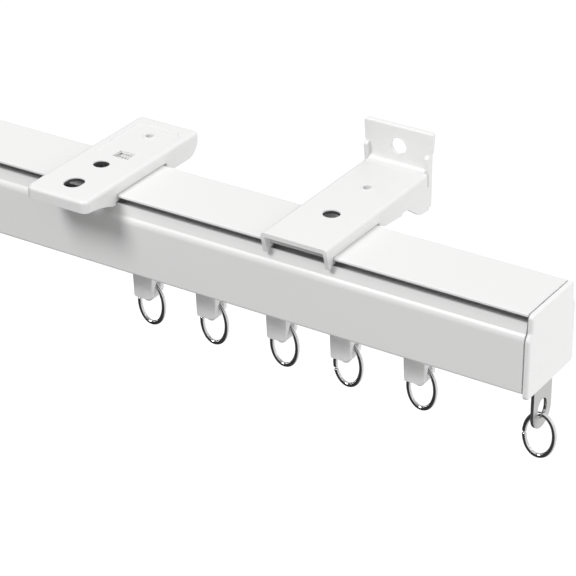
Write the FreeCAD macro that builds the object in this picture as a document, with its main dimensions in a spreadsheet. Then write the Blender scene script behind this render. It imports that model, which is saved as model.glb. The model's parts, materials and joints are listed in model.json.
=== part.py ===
import FreeCAD, Part
import os
import Sketcher
from FreeCAD import Vector, Rotation, Placement

# Short length of ceiling or wall curtain track: a slotted channel rail with a snap-on ceiling bracket,
# a snap-on wall bracket, five ring runners on wheels, and an end cap with a hook plate at each end.
# Frame: X along the rail, Y across it towards the wall, Z up. The origin is on the top face of the
# ceiling bracket, in the middle of the rail's length and over its centre line.

doc = FreeCAD.newDocument("CurtainTrack")
sheet = doc.addObject("Spreadsheet::Sheet", "Sizes")

DRIVING_SIZES = [
    # rail: slotted channel with a top flange over a groove on each side
    ("rail_length", 267.0),
    ("rail_width", 24.9),
    ("rail_height", 22.0),
    ("rail_wall", 1.1),
    ("track_floor", 1.2),
    ("slot_width", 10.4),
    ("flange_width", 21.5),
    ("flange_lip", 0.75),
    ("groove_height", 1.4),
    ("groove_depth", 2.6),
    ("groove_rim", 0.45),
    ("groove_drop", 0.8),
    ("neck_top_width", 21.7),
    ("neck_width", 22.5),
    ("shoulder_start", 4.9),
    ("shoulder_end", 6.7),
    ("shoulder_radius", 1.1),
    ("rail_corner", 0.9),
    ("lip_radius", 0.3),
    # end caps: moulded plate with a hollow plug that pushes into the rail
    ("cap_thickness", 1.4),
    ("cap_gap", 0.35),
    ("cap_drop", 1.5),
    ("cap_rise", 0.05),
    ("cap_edge", 0.6),
    ("cap_corner", 1.3),
    ("plug_length", 10.0),
    ("plug_wall", 1.5),
    ("plug_fit", 0.15),
    ("plug_boss", 5.6),
    # hook plates: bent strip steel with an oval eye, screwed up into the plug
    ("strip_thickness", 0.9),
    ("strip_width", 9.8),
    ("strip_reach", 37.6),
    ("strip_leg", 9.4),
    ("leg_depth", 17.9),
    ("strip_bend", 1.2),
    ("strip_gap", 0.1),
    ("eye_width", 4.9),
    ("eye_height", 5.5),
    ("eye_top", 29.3),
    # screws that hold the hook plates
    ("screw_radius", 1.4),
    ("screw_length", 7.0),
    ("screw_head_radius", 2.6),
    ("screw_head_height", 1.5),
    ("screw_setback", 5.2),
    ("screw_hole_play", 0.25),
    # split rings of round wire
    ("ring_width", 9.3),
    ("ring_height", 13.6),
    ("ring_wire", 1.25),
    ("ring_play", 0.2),
    ("end_ring_turn", 8.0),
    # runners: moulded hanger on two wheels
    ("last_runner_back", 36.0),
    ("runner_step_1", 20.9),
    ("runner_step_2", 22.7),
    ("runner_step_3", 20.0),
    ("runner_step_4", 22.4),
    ("wheel_radius", 4.8),
    ("wheel_width", 3.6),
    ("wheel_rise", 0.1),
    ("wheel_place", 7.7),
    ("hub_radius", 2.1),
    ("wheel_side_play", 0.15),
    ("axle_radius", 1.0),
    ("axle_play", 0.05),
    ("axle_head", 1.6),
    ("axle_head_height", 0.6),
    ("boss_radius", 2.4),
    ("neck_thickness", 4.2),
    ("neck_length", 6.0),
    ("hanger_gap", 0.6),
    ("hanger_length", 6.6),
    ("hanger_taper", 0.6),
    ("ring_offset", 1.1),
    ("hanger_thickness", 5.6),
    ("hanger_reach", 34.8),
    ("hanger_heel", 0.6),
    ("hanger_toe", 2.3),
    ("yoke_width", 2.6),
    ("yoke_mouth", 3.7),
    ("yoke_clearance", 0.4),
    ("bridge_width", 3.6),
    ("bridge_top", 31.75),
    ("bridge_reach", 35.6),
    # both brackets: folded and painted sheet steel
    ("sheet_thickness", 1.2),
    ("bracket_rise", 3.3),
    ("bracket_seat", 0.1),
    ("claw_gap", 0.2),
    ("claw_reach", 1.05),
    ("claw_drop", 2.8),
    ("fold_radius", 1.1),
    ("rivet_hole", 1.6),
    # ceiling bracket
    ("ceiling_width", 20.2),
    ("ceiling_front", 24.6),
    ("ceiling_back", 28.7),
    ("ceiling_skirt", 3.1),
    ("ceiling_lip_drop", 0.3),
    ("ceiling_front_corner", 2.1),
    ("ceiling_back_corner", 1.9),
    ("front_slot_y", 16.1),
    ("front_slot_width", 5.1),
    ("front_slot_length", 6.3),
    ("rear_hole_x", -0.6),
    ("rear_hole_y", 3.1),
    ("rear_hole", 4.5),
    ("window_x", 1.0),
    ("window_y", 5.2),
    ("window_width", 4.9),
    ("window_depth", 4.1),
    ("panel_width", 15.0),
    ("panel_start", 1.6),
    ("panel_end", 24.4),
    ("panel_sink", 0.2),
    ("panel_corner", 2.0),
    ("ceiling_rivet_y", 18.6),
    ("ceiling_latch_front", 2.0),
    # wall bracket
    ("wall_bracket_x", 67.8),
    ("wall_width", 20.0),
    ("wall_front", 14.0),
    ("wall_face_y", 40.0),
    ("wall_plate_width", 21.4),
    ("wall_plate_top", 15.2),
    ("wall_plate_bottom", 7.5),
    ("wall_plate_bevel", 0.8),
    ("wall_plate_taper", 0.35),
    ("wall_plate_edge", 0.9),
    ("wall_hole_z", 9.0),
    ("wall_hole", 4.8),
    ("arm_hole_y", 4.6),
    ("arm_hole", 4.8),
    ("arm_bend", 2.6),
    ("ear_height", 5.4),
    ("ear_run", 1.4),
    ("ear_root", 0.8),
    ("ear_slit", 0.4),
    ("ear_slit_drop", 0.3),
    ("wall_rivet_y", 22.6),
    ("wall_latch_front", 8.0),
    # sliding latches with a spring and a hollow rivet
    ("latch_sheet", 1.0),
    ("latch_gap", 0.15),
    ("latch_side_gap", 0.3),
    ("latch_travel", 1.6),
    ("tongue_width", 4.8),
    ("tongue_back", 4.6),
    ("stop_back", 3.5),
    ("spring_radius", 1.0),
    ("spring_wire", 0.4),
    ("spring_pitch", 1.1),
    ("spring_axis_drop", 1.3),
    ("rivet_radius", 1.5),
    ("rivet_bore", 1.15),
    ("rivet_flange", 1.85),
    ("rivet_flange_height", 0.15),
    ("rivet_foot", 2.3),
    ("rivet_foot_height", 0.6),
]

for row, (name, number) in enumerate(DRIVING_SIZES, 1):
    sheet.set("A%d" % row, name)
    sheet.set("B%d" % row, str(number))
    sheet.setAlias("B%d" % row, name)
doc.recompute()


class Formula:
    """A size worked out from the sheet: its number now, and the same sum as text to bind with."""

    def __init__(self, number, text):
        self.number = float(number)
        self.text = text

    def __add__(self, other):
        other = formula(other)
        return Formula(self.number + other.number, "(%s + %s)" % (self.text, other.text))

    def __radd__(self, other):
        return formula(other) + self

    def __sub__(self, other):
        other = formula(other)
        return Formula(self.number - other.number, "(%s - %s)" % (self.text, other.text))

    def __rsub__(self, other):
        return formula(other) - self

    def __mul__(self, other):
        other = formula(other)
        return Formula(self.number * other.number, "(%s * %s)" % (self.text, other.text))

    def __rmul__(self, other):
        return formula(other) * self

    def __truediv__(self, other):
        other = formula(other)
        return Formula(self.number / other.number, "(%s / %s)" % (self.text, other.text))

    def __neg__(self):
        return Formula(-self.number, "(-1 * %s)" % self.text)


def formula(thing):
    if isinstance(thing, Formula):
        return thing
    return Formula(thing, "%.6f" % thing)


def size(name):
    return Formula(sheet.get(name), "Sizes." + name)


def bind(thing, path, what):
    """Set a property of a feature from the sheet."""
    thing.setExpression(path, formula(what).text)


# Heights that several pieces share. Inside each body, z is measured down from the rail's top face.

half_rail = size("rail_width") / 2
half_flange = size("flange_width") / 2
half_neck = size("neck_width") / 2
neck_top = size("neck_top_width") / 2
half_slot = size("slot_width") / 2
groove_floor = size("flange_lip") + size("groove_height")
groove_wall = half_flange - size("groove_depth")
cavity_side = half_rail - size("rail_wall")
cavity_neck = neck_top - size("rail_wall")
cavity_roof = groove_floor + size("groove_drop") + size("rail_wall")
floor_top = size("rail_height") - size("track_floor")
axle_depth = floor_top - size("wheel_radius") - size("wheel_rise")
rail_end = size("rail_length") / 2
web_underside = size("bracket_rise") - size("sheet_thickness")
leaf_top = web_underside - size("latch_gap")
leaf_underside = leaf_top - size("latch_sheet")
nib_top = size("flange_lip") + size("claw_gap")
nib_underside = groove_floor - size("claw_gap")
claw_inside = half_flange + size("claw_gap")
claw_outside = half_neck + size("claw_gap")
nib_tip = half_flange - size("claw_reach")
yoke_roof = size("bridge_top") - size("ring_play") - size("ring_wire") - size("yoke_clearance")


def make_body(name):
    body = doc.addObject("PartDesign::Body", name)
    body.Label = name
    return body


def origin_plane(body, role):
    return [item for item in body.Origin.OriginFeatures if item.Role == role][0]


def make_sketch(body, name, role, offset=None):
    sketch = body.newObject("Sketcher::SketchObject", name)
    sketch.AttachmentSupport = (origin_plane(body, role), [""])
    sketch.MapMode = "FlatFace"
    if offset is not None:
        bind(sketch, "AttachmentOffset.Base.z", offset)
    return sketch


def pin_point(sketch, geometry, end, place):
    """Tie one point of a sketch to its two distances from the sketch's origin."""
    across, up = place
    for kind, what in (("DistanceX", across), ("DistanceY", up)):
        what = formula(what)
        index = sketch.addConstraint(Sketcher.Constraint(kind, -1, 1, geometry, end, what.number))
        sketch.setExpression("Constraints[%d]" % index, what.text)


def outline(body, name, role, corners, offset=None):
    """Closed sketch of straight sides through the corners."""
    sketch = make_sketch(body, name, role, offset)
    places = [Vector(formula(a).number, formula(b).number, 0) for a, b in corners]
    count = len(places)
    for index in range(count):
        sketch.addGeometry(Part.LineSegment(places[index], places[(index + 1) % count]))
    for index in range(count):
        sketch.addConstraint(Sketcher.Constraint("Coincident", index, 2, (index + 1) % count, 1))
    for index, corner in enumerate(corners):
        pin_point(sketch, index, 1, corner)
    return sketch


def circle(body, name, role, centre, radius, offset=None):
    sketch = make_sketch(body, name, role, offset)
    middle = Vector(formula(centre[0]).number, formula(centre[1]).number, 0)
    sketch.addGeometry(Part.Circle(middle, Vector(0, 0, 1), radius.number))
    pin_point(sketch, 0, 3, centre)
    index = sketch.addConstraint(Sketcher.Constraint("Radius", 0, radius.number))
    sketch.setExpression("Constraints[%d]" % index, radius.text)
    return sketch


def upright_slot(body, name, role, across, top, bottom, width, offset=None):
    """Closed sketch of an upright slot with round ends."""
    sketch = make_sketch(body, name, role, offset)
    radius = formula(width) / 2
    centres = [(formula(across), formula(top) - radius), (formula(across), formula(bottom) + radius)]
    x, r = centres[0][0].number, radius.number
    high, low = centres[0][1].number, centres[1][1].number
    quarter = 1.5707963267948966
    upper = Part.Circle(Vector(x, high, 0), Vector(0, 0, 1), r)
    lower = Part.Circle(Vector(x, low, 0), Vector(0, 0, 1), r)
    sketch.addGeometry(Part.ArcOfCircle(upper, 0, 2 * quarter))
    sketch.addGeometry(Part.LineSegment(Vector(x - r, high, 0), Vector(x - r, low, 0)))
    sketch.addGeometry(Part.ArcOfCircle(lower, 2 * quarter, 4 * quarter))
    sketch.addGeometry(Part.LineSegment(Vector(x + r, low, 0), Vector(x + r, high, 0)))
    for first, second in ((0, 1), (1, 2), (2, 3), (3, 0)):
        sketch.addConstraint(Sketcher.Constraint("Tangent", first, 2, second, 1))
    pin_point(sketch, 0, 3, centres[0])
    pin_point(sketch, 2, 3, centres[1])
    index = sketch.addConstraint(Sketcher.Constraint("Radius", 0, r))
    sketch.setExpression("Constraints[%d]" % index, radius.text)
    sketch.addConstraint(Sketcher.Constraint("Equal", 0, 2))
    return sketch


def add_pad(body, sketch, length, side="One side", reverse=False):
    pad = body.newObject("PartDesign::Pad", sketch.Name + "Pad")
    pad.Profile = sketch
    pad.SideType = side
    pad.Reversed = reverse
    bind(pad, "Length", length)
    sketch.Visibility = False
    return pad


def add_pocket(body, sketch, length, side="One side", reverse=False):
    """Cut that has to remove something, so the body's volume is compared before and after."""
    doc.recompute()
    before = body.Shape.Volume
    pocket = body.newObject("PartDesign::Pocket", sketch.Name + "Cut")
    pocket.Profile = sketch
    pocket.SideType = side
    pocket.Reversed = reverse
    bind(pocket, "Length", length)
    doc.recompute()
    if body.Shape.Volume > before - 1e-6:
        raise ValueError(sketch.Name + " cuts nothing")
    return pocket


def add_turn(body, sketch, axis):
    turn = body.newObject("PartDesign::Revolution", sketch.Name + "Turn")
    turn.Profile = sketch
    turn.ReferenceAxis = (sketch, [axis])
    turn.Angle = 360.0
    return turn


def add_round(body, name, radius, wanted, kind="PartDesign::Fillet"):
    """Round or bevel the edges that the test picks from the body's present shape."""
    doc.recompute()
    base = body.Tip
    names = []
    for index, edge in enumerate(base.Shape.Edges, 1):
        if wanted(edge):
            names.append("Edge%d" % index)
    if not names:
        raise ValueError(name + " finds no edge")
    feature = body.newObject(kind, name)
    feature.Base = (base, names)
    bind(feature, "Radius" if kind.endswith("Fillet") else "Size", radius)
    doc.recompute()
    return feature


def near(value, target, tolerance=0.02):
    return abs(value - formula(target).number) < tolerance


def runs_along(edge, axis):
    """True for a straight edge along one axis, given as 0, 1 or 2."""
    start, end = edge.Vertexes[0].Point, edge.Vertexes[-1].Point
    steps = [abs(end[k] - start[k]) for k in range(3)]
    return steps[axis] > 1e-3 and sum(steps) - steps[axis] < 1e-3


def edge_at(edge, axis, first, second):
    """True for an edge along an axis whose other two places match, each with either sign."""
    if not runs_along(edge, axis):
        return False
    point = edge.Vertexes[0].Point
    others = [point[k] for k in range(3) if k != axis]
    return near(abs(others[0]), first) and near(abs(others[1]), second)


def put_at(thing, x=None, turned=None):
    """Seat a piece at its place along the rail and at the height of the rail's top face."""
    if turned is not None:
        thing.Placement = Placement(Vector(0, 0, 0), Rotation(Vector(0, 0, 1), turned))
    if x is not None:
        bind(thing, "Placement.Base.x", x)
    bind(thing, "Placement.Base.z", -size("bracket_rise"))
    return thing


def mirrored(right_half):
    """A right-hand outline followed by its mirror image about the sketch's upright axis."""
    left_half = [(-formula(across), up) for across, up in reversed(right_half)]
    return right_half + left_half


# Rail

def make_rail():
    body = make_body("rail")
    outside = [
        (half_slot, -size("rail_height")),
        (half_rail, -size("rail_height")),
        (half_rail, -size("shoulder_end")),
        (half_neck, -size("shoulder_start")),
        (neck_top, -groove_floor),
        (neck_top - size("groove_rim"), -groove_floor),
        (neck_top - size("groove_rim"), -groove_floor - size("groove_drop")),
        (groove_wall, -groove_floor - size("groove_drop")),
        (groove_wall, -size("flange_lip")),
        (half_flange, -size("flange_lip")),
        (half_flange, formula(0)),
    ]
    inside = [
        (-half_slot, -floor_top),
        (-cavity_side, -floor_top),
        (-cavity_side, -size("shoulder_end") - size("rail_wall") / 3),
        (-cavity_neck, -size("shoulder_start") - size("rail_wall") / 3),
        (-cavity_neck, -cavity_roof),
        (-groove_wall + size("rail_wall"), -cavity_roof),
        (-groove_wall + size("rail_wall"), -size("rail_wall")),
    ]
    section = outline(body, "rail_section", "YZ_Plane", mirrored(outside) + mirrored(inside))
    add_pad(body, section, size("rail_length"), "Symmetric")
    add_round(body, "rail_shoulders", size("shoulder_radius"),
              lambda e: edge_at(e, 0, half_rail, size("shoulder_end"))
              or edge_at(e, 0, half_neck, size("shoulder_start")))
    add_round(body, "rail_corners", size("rail_corner"),
              lambda e: edge_at(e, 0, half_rail, size("rail_height")))
    add_round(body, "rail_lips", size("lip_radius"),
              lambda e: edge_at(e, 0, half_flange, 0)
              or edge_at(e, 0, half_flange, size("flange_lip")))
    return put_at(body)


# End caps and what hangs from them. The right-hand piece is modelled with x = 0 at the rail's end face,
# and the left-hand one is the same piece turned half round.

def make_end_cap(name, x, turned):
    body = make_body(name)
    face = [
        (half_rail, -size("rail_height") - size("cap_drop")),
        (half_rail, -size("shoulder_end")),
        (half_neck, -size("shoulder_start")),
        (half_neck, size("cap_rise")),
    ]
    plate = outline(body, name + "_face", "YZ_Plane", mirrored(face), offset=size("cap_gap"))
    add_pad(body, plate, size("cap_thickness"))
    add_round(body, name + "_corners", size("cap_corner"),
              lambda e: edge_at(e, 0, half_rail, size("rail_height") + size("cap_drop"))
              or edge_at(e, 0, half_rail, size("shoulder_end"))
              or edge_at(e, 0, half_neck, size("shoulder_start"))
              or edge_at(e, 0, half_neck, size("cap_rise")))
    outer = (size("cap_gap") + size("cap_thickness")).number
    add_round(body, name + "_rim", size("cap_edge"),
              lambda e: all(near(v.Point.x, outer) for v in e.Vertexes))
    play = size("plug_fit")
    notch = size("strip_width") / 2 + size("strip_gap") + play
    notch_roof = size("leg_depth") - size("strip_gap")
    inside = [
        (notch, -floor_top + play),
        (cavity_side - play, -floor_top + play),
        (cavity_side - play, -size("shoulder_end") - size("rail_wall") - play),
        (cavity_neck - play, -size("shoulder_start") - size("rail_wall") - play),
        (cavity_neck - play, -cavity_roof - play),
    ]
    plug_outline = mirrored(inside) + [(-notch, -notch_roof), (notch, -notch_roof)]
    plug = outline(body, name + "_plug", "YZ_Plane", plug_outline, offset=size("cap_gap"))
    add_pad(body, plug, size("plug_length") + size("cap_gap"), reverse=True)
    wall = size("plug_wall")
    near_side = size("plug_boss") / 2
    far_side = cavity_neck - play - wall
    for side, label in ((1, "_rear_hollow"), (-1, "_front_hollow")):
        hollow = outline(body, name + label, "YZ_Plane", [
            (side * near_side, -notch_roof + wall),
            (side * far_side, -notch_roof + wall),
            (side * far_side, -cavity_roof - play - wall),
            (side * near_side, -cavity_roof - play - wall),
        ], offset=-size("plug_length"))
        add_pocket(body, hollow, size("plug_length") - wall, reverse=True)
    hole = circle(body, name + "_screw_hole", "XY_Plane", (-size("screw_setback"), 0),
                  size("screw_radius"), offset=-notch_roof)
    add_pocket(body, hole, size("screw_length") + play, reverse=True)
    return put_at(body, x, turned)


def make_hook_plate(name, x, turned):
    body = make_body(name)
    thick = size("strip_thickness")
    bent = outline(body, name + "_bend", "XZ_Plane", [
        (0, -size("strip_reach")),
        (0, -size("leg_depth")),
        (-size("strip_leg"), -size("leg_depth")),
        (-size("strip_leg"), -size("leg_depth") - thick),
        (-thick, -size("leg_depth") - thick),
        (-thick, -size("strip_reach")),
    ])
    add_pad(body, bent, size("strip_width"), "Symmetric")
    half = size("strip_width") / 2
    add_round(body, name + "_toe", half - 0.02,
              lambda e: edge_at(e, 0, half, size("strip_reach")))
    add_round(body, name + "_fold", size("strip_bend"),
              lambda e: edge_at(e, 1, 0, size("leg_depth")))
    eye = upright_slot(body, name + "_eye", "YZ_Plane", 0, -size("eye_top"),
                       -size("eye_top") - size("eye_height"), size("eye_width"))
    add_pocket(body, eye, thick * 2, "Symmetric")
    hole = circle(body, name + "_screw_hole", "XY_Plane", (-size("screw_setback"), 0),
                  size("screw_radius") + size("screw_hole_play"), offset=-size("leg_depth") - thick)
    add_pocket(body, hole, thick * 2, reverse=True)
    return put_at(body, x, turned)


def make_hook_screw(name, x):
    """Pan-head screw driven upwards: z = 0 is under its head."""
    body = make_body(name)
    head, rise = size("screw_head_radius"), size("screw_head_height")
    shank, length = size("screw_radius"), size("screw_length")
    half_section = outline(body, name + "_section", "XZ_Plane", [
        (0, -rise),
        (head * 0.7, -rise),
        (head, -rise * 0.6),
        (head, 0),
        (shank, 0),
        (shank, length - shank),
        (0, length),
    ])
    add_turn(body, half_section, "V_Axis")
    for label, along, across in (("_slot_a", 0.6, 0.14), ("_slot_b", 0.14, 0.6)):
        recess = outline(body, name + label, "XY_Plane", [
            (-head * along, -head * across),
            (head * along, -head * across),
            (head * along, head * across),
            (-head * along, head * across),
        ], offset=-rise)
        add_pocket(body, recess, rise * 0.45, reverse=True)
    bind(body, "Placement.Base.x", x)
    bind(body, "Placement.Base.z", -size("bracket_rise") - size("leg_depth") - size("strip_thickness"))
    return body


def make_ring(name, x, top, split_angle, turned=0.0):
    """Oval split ring of round wire, hung with the middle of its top wire at x and at the height top."""
    wire = size("ring_wire")
    upright = (size("ring_height") - wire) / 2
    across = (size("ring_width") - wire) / 2
    spine = doc.addObject("Part::Ellipse", name + "_line")
    bind(spine, "MajorRadius", upright)
    bind(spine, "MinorRadius", across)
    gap_angle = 6.0
    spine.Angle1 = (split_angle + gap_angle / 2) % 360.0
    spine.Angle2 = (split_angle - gap_angle / 2) % 360.0
    doc.recompute()
    start = spine.Shape.Edges[0]
    point = start.valueAt(start.FirstParameter)
    heading = start.tangentAt(start.FirstParameter)
    section = doc.addObject("Part::Circle", name + "_section")
    bind(section, "Radius", wire / 2)
    section.Placement = Placement(point, Rotation(Vector(0, 0, 1), heading))
    sweep = doc.addObject("Part::Sweep", name)
    sweep.Label = name
    sweep.Sections = [section]
    sweep.Spine = (spine, ["Edge1"])
    sweep.Solid = True
    sweep.Frenet = True
    upended = Rotation(Vector(0, 0, 1), Vector(1, 0, 0), Vector(0, 1, 0), "ZXY")
    stood = Rotation(Vector(0, 0, 1), turned) * upended
    sweep.Placement = Placement(Vector(0, 0, 0), stood)
    bind(sweep, "Placement.Base.x", x)
    bind(sweep, "Placement.Base.z", -size("bracket_rise") + top - upright)
    return sweep


# Runners: each is a hanger on an axle with two wheels, and a ring

def make_hanger(name, x):
    body = make_body(name)
    top = size("rail_height") + size("hanger_gap")
    half, taper = size("hanger_length") / 2, size("hanger_taper")
    reach = size("hanger_reach")
    thick = size("hanger_thickness")
    block = outline(body, name + "_block", "XZ_Plane", [
        (-half, -top),
        (half, -top),
        (half, -reach),
        (-half + taper, -reach),
    ])
    add_pad(body, block, thick, "Symmetric")
    add_round(body, name + "_heel", size("hanger_heel"),
              lambda e: edge_at(e, 1, half - taper, reach) and e.Vertexes[0].X < 0)
    add_round(body, name + "_toe", size("hanger_toe"),
              lambda e: edge_at(e, 1, half, reach) and e.Vertexes[0].X > 0)
    mouth, gap = size("yoke_mouth") / 2, size("yoke_width") / 2
    yoke = outline(body, name + "_yoke", "YZ_Plane", [
        (-mouth, -reach - 1),
        (mouth, -reach - 1),
        (gap, -size("bridge_top")),
        (gap, -yoke_roof - gap / 2),
        (gap / 2, -yoke_roof),
        (-gap / 2, -yoke_roof),
        (-gap, -yoke_roof - gap / 2),
        (-gap, -size("bridge_top")),
    ])
    add_pocket(body, yoke, size("hanger_length") + 2, "Symmetric")
    bridge = upright_slot(body, name + "_bridge", "XZ_Plane", size("ring_offset"), -size("bridge_top"),
                          -size("bridge_reach"), size("bridge_width"))
    add_pad(body, bridge, size("yoke_mouth") + 0.3, "Symmetric")
    neck = outline(body, name + "_neck", "XZ_Plane", [
        (-size("neck_length") / 2, -axle_depth),
        (size("neck_length") / 2, -axle_depth),
        (size("neck_length") / 2, -top),
        (-size("neck_length") / 2, -top),
    ])
    add_pad(body, neck, size("neck_thickness"), "Symmetric")
    boss = circle(body, name + "_boss", "XZ_Plane", (0, -axle_depth), size("boss_radius"))
    boss_end = size("wheel_place") - size("wheel_width") / 2 - size("wheel_side_play")
    add_pad(body, boss, boss_end * 2, "Symmetric")
    bore = circle(body, name + "_bore", "XZ_Plane", (0, -axle_depth),
                  size("axle_radius") + size("axle_play") / 2)
    add_pocket(body, bore, boss_end * 2 + 2, "Symmetric")
    return put_at(body, x)


def make_axle(name, x):
    body = make_body(name)
    inner = size("wheel_place") + size("wheel_width") / 2 + size("wheel_side_play")
    outer = inner + size("axle_head_height")
    shaft, head = size("axle_radius"), size("axle_head")
    half_section = outline(body, name + "_section", "YZ_Plane", [
        (-outer, 0),
        (outer, 0),
        (outer, head * 0.8),
        (outer - head * 0.2, head),
        (inner, head),
        (inner, shaft),
        (-inner, shaft),
        (-inner, head),
        (-outer + head * 0.2, head),
        (-outer, head * 0.8),
    ])
    add_turn(body, half_section, "H_Axis")
    bind(body, "Placement.Base.x", x)
    bind(body, "Placement.Base.z", -size("bracket_rise") - axle_depth)
    return body


def make_wheel(name, x, side):
    body = make_body(name)
    half, radius = size("wheel_width") / 2, size("wheel_radius")
    hub, bore = size("hub_radius"), size("axle_radius") + size("axle_play")
    rim = radius * 0.76
    right = [
        (half, bore),
        (half, hub),
        (half / 2, hub),
        (half / 2, rim),
        (half * 0.9, rim + half * 0.1),
        (half * 0.9, radius - half * 0.2),
        (half * 0.65, radius),
    ]
    half_section = outline(body, name + "_section", "YZ_Plane", mirrored(right))
    add_turn(body, half_section, "H_Axis")
    bind(body, "Placement.Base.x", x)
    bind(body, "Placement.Base.y", side * size("wheel_place"))
    bind(body, "Placement.Base.z", -size("bracket_rise") - axle_depth)
    return body


# Brackets

def front_claw():
    """Lower edge of a bracket's cheek from the rail's top round its front flange, as (y, z) corners."""
    return [
        (-claw_inside, size("bracket_seat")),
        (-claw_inside, -nib_top),
        (-nib_tip, -nib_top),
        (-nib_tip, -nib_underside),
        (-claw_outside, -nib_underside),
        (-claw_outside - 0.2, -size("claw_drop")),
        (-claw_outside - size("sheet_thickness"), -size("claw_drop")),
    ]


def stop_tab(body, name, rivet_y):
    """Tab bent down from the bracket's web that the latch spring leans on."""
    near_face = rivet_y + size("stop_back")
    tab = outline(body, name + "_stop", "YZ_Plane", [
        (near_face, web_underside),
        (near_face + size("latch_sheet"), web_underside),
        (near_face + size("latch_sheet"), -size("spring_axis_drop") * 2),
        (near_face, -size("spring_axis_drop") * 2),
    ])
    add_pad(body, tab, size("tongue_width"), "Symmetric")


def make_ceiling_bracket():
    body = make_body("ceiling_bracket")
    front, back, rise = size("ceiling_front"), size("ceiling_back"), size("bracket_rise")
    skirt, seat = size("ceiling_skirt"), size("bracket_seat")
    behind = claw_inside + size("sheet_thickness")
    side = [
        (-front, rise),
        (-front, -size("ceiling_lip_drop")),
        (-front + 2.4, -size("ceiling_lip_drop")),
        (-front + 5.8, -skirt * 0.25),
        (-front + 9.6, -skirt * 0.6),
    ]
    side += list(reversed(front_claw()))
    side += [
        (behind, seat),
        (behind + 0.4, -1.2),
        (behind + 4.0, -skirt),
        (back - 5.2, -skirt),
        (back - 3.4, -skirt * 0.8),
        (back - 1.0, 0.3),
        (back, 1.6),
        (back, rise),
    ]
    profile = outline(body, "ceiling_side", "YZ_Plane", side)
    add_pad(body, profile, size("ceiling_width"), "Symmetric")
    half = size("ceiling_width") / 2
    add_round(body, "ceiling_front_corners", size("ceiling_front_corner"),
              lambda e: runs_along(e, 2) and near(abs(e.Vertexes[0].X), half)
              and near(e.Vertexes[0].Y, -front))
    add_round(body, "ceiling_back_corners", size("ceiling_back_corner"),
              lambda e: runs_along(e, 2) and near(abs(e.Vertexes[0].X), half)
              and near(e.Vertexes[0].Y, back))
    top = rise.number
    add_round(body, "ceiling_fold", size("fold_radius"),
              lambda e: all(near(v.Z, top) for v in e.Vertexes))
    sheet_t = size("sheet_thickness")
    inset = size("ceiling_back_corner")
    hollow = outline(body, "ceiling_hollow", "XY_Plane", [
        (-half + inset, -front + sheet_t),
        (half - inset, -front + sheet_t),
        (half - sheet_t, -front + inset),
        (half - sheet_t, back - inset),
        (half - inset, back - sheet_t),
        (-half + inset, back - sheet_t),
        (-half + sheet_t, back - inset),
        (-half + sheet_t, -front + inset),
    ], offset=web_underside)
    add_pocket(body, hollow, skirt * 3)
    stop_tab(body, "ceiling", size("ceiling_rivet_y"))
    half_slot_length = size("front_slot_length") / 2
    slot = upright_slot(body, "ceiling_front_slot", "XY_Plane", 0, -size("front_slot_y") + half_slot_length,
                        -size("front_slot_y") - half_slot_length, size("front_slot_width"), offset=rise)
    add_pocket(body, slot, sheet_t * 2)
    for name, x, y, radius in (
        ("ceiling_rear_hole", size("rear_hole_x"), -size("rear_hole_y"), size("rear_hole") / 2),
        ("ceiling_rivet_hole", 0, size("ceiling_rivet_y"), size("rivet_hole")),
    ):
        add_pocket(body, circle(body, name, "XY_Plane", (x, y), radius, offset=rise), sheet_t * 2)
    left, right = size("window_x") - size("window_width") / 2, size("window_x") + size("window_width") / 2
    low, high = size("window_y") - size("window_depth") / 2, size("window_y") + size("window_depth") / 2
    window = outline(body, "ceiling_window", "XY_Plane",
                     [(left, low), (right, low), (right, high), (left, high)], offset=rise)
    add_pocket(body, window, sheet_t * 2)
    half_panel, corner = size("panel_width") / 2, size("panel_corner")
    start, end = size("panel_start"), size("panel_end")
    panel = outline(body, "ceiling_panel", "XY_Plane", [
        (-half_panel + corner, start),
        (half_panel - corner, start),
        (half_panel, start + corner),
        (half_panel, end - corner),
        (half_panel - corner, end),
        (-half_panel + corner, end),
        (-half_panel, end - corner),
        (-half_panel, start + corner),
    ], offset=rise)
    add_pocket(body, panel, size("panel_sink"))
    return put_at(body)


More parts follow.
